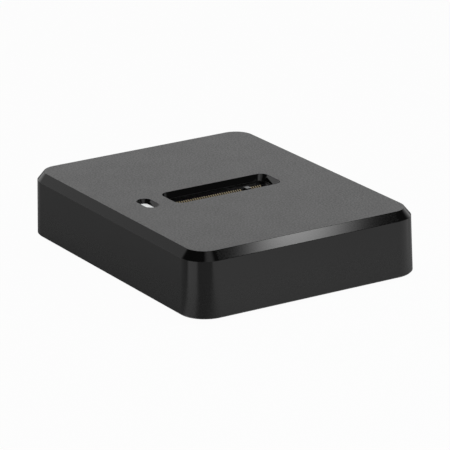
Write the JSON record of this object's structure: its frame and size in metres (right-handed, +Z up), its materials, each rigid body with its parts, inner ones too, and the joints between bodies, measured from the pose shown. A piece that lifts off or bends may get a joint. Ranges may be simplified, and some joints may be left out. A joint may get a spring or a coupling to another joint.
{
  "type": "drive docking station",
  "caption": "Low black docking block with an upright card socket in a slot in its top for bare M.2 drives, a small lamp window beside it and a port in its back wall.",
  "frame": {"origin": "middle of the footprint, on the surface that the feet stand on", "axes": "+X to the right along the front edge, +Y to the back wall with the port, +Z up through the drive slot"},
  "size_m": [0.05, 0.0644, 0.0136],
  "materials": {
    "housing_black": "fine satin texture, polished chamfer",
    "cover_black": "fine spark texture",
    "foot_rubber": "dull",
    "screw_black": "black oxide",
    "board_mask": "solder mask",
    "screw_steel": "zinc plated",
    "socket_black": "moulded",
    "contact_gold": "gold flashed",
    "tinned_metal": "tinned",
    "port_steel": "nickel plated",
    "port_black": "moulded",
    "chip_black": "moulded package",
    "crystal_can": "plain",
    "inductor_grey": "pressed powder",
    "capacitor_amber": "moulded",
    "capacitor_tan": "fired",
    "resistor_black": "glazed",
    "led_body": "clear lens",
    "pipe_white": "frosted"
  },
  "bodies": {
    "dock": {"top_housing": "housing_black", "bottom_cover": "cover_black", "foot_front_left": "foot_rubber", "foot_front_right": "foot_rubber", "foot_rear_left": "foot_rubber", "foot_rear_right": "foot_rubber", "cover_screws": "screw_black", "circuit_board": "board_mask", "board_screws": "screw_steel", "drive_socket_body": "socket_black", "socket_hold_downs": "tinned_metal", "usb_c_shell": "port_steel", "usb_c_insulator": "port_black", "usb_c_contacts": "contact_gold", "bridge_controller": "chip_black", "firmware_flash": "chip_black", "flash_leads": "tinned_metal", "crystal": "crystal_can", "power_inductors": "inductor_grey", "buck_regulators": "chip_black", "bulk_capacitors": "capacitor_amber", "ceramic_capacitors": "capacitor_tan", "chip_resistors": "resistor_black", "esd_protector": "chip_black", "status_led": "led_body", "light_pipe": "pipe_white"},
    "front_contact_row": {"front_contacts": "contact_gold"},
    "rear_contact_row": {"rear_contacts": "contact_gold"}
  },
  "joints": [
    {"name": "front_contacts_flex", "type": "hinge", "parent": "dock", "child": "front_contact_row", "pos_m": [0, -0.00095, 0.0057], "axis": [1, 0, 0], "range_deg": [0, 2.53], "stiffness_Nm_per_rad": 3},
    {"name": "rear_contacts_flex", "type": "hinge", "parent": "dock", "child": "rear_contact_row", "pos_m": [0, 0.00095, 0.0057], "axis": [1, 0, 0], "range_deg": [-2.01, 0], "stiffness_Nm_per_rad": 2.4}
  ]
}
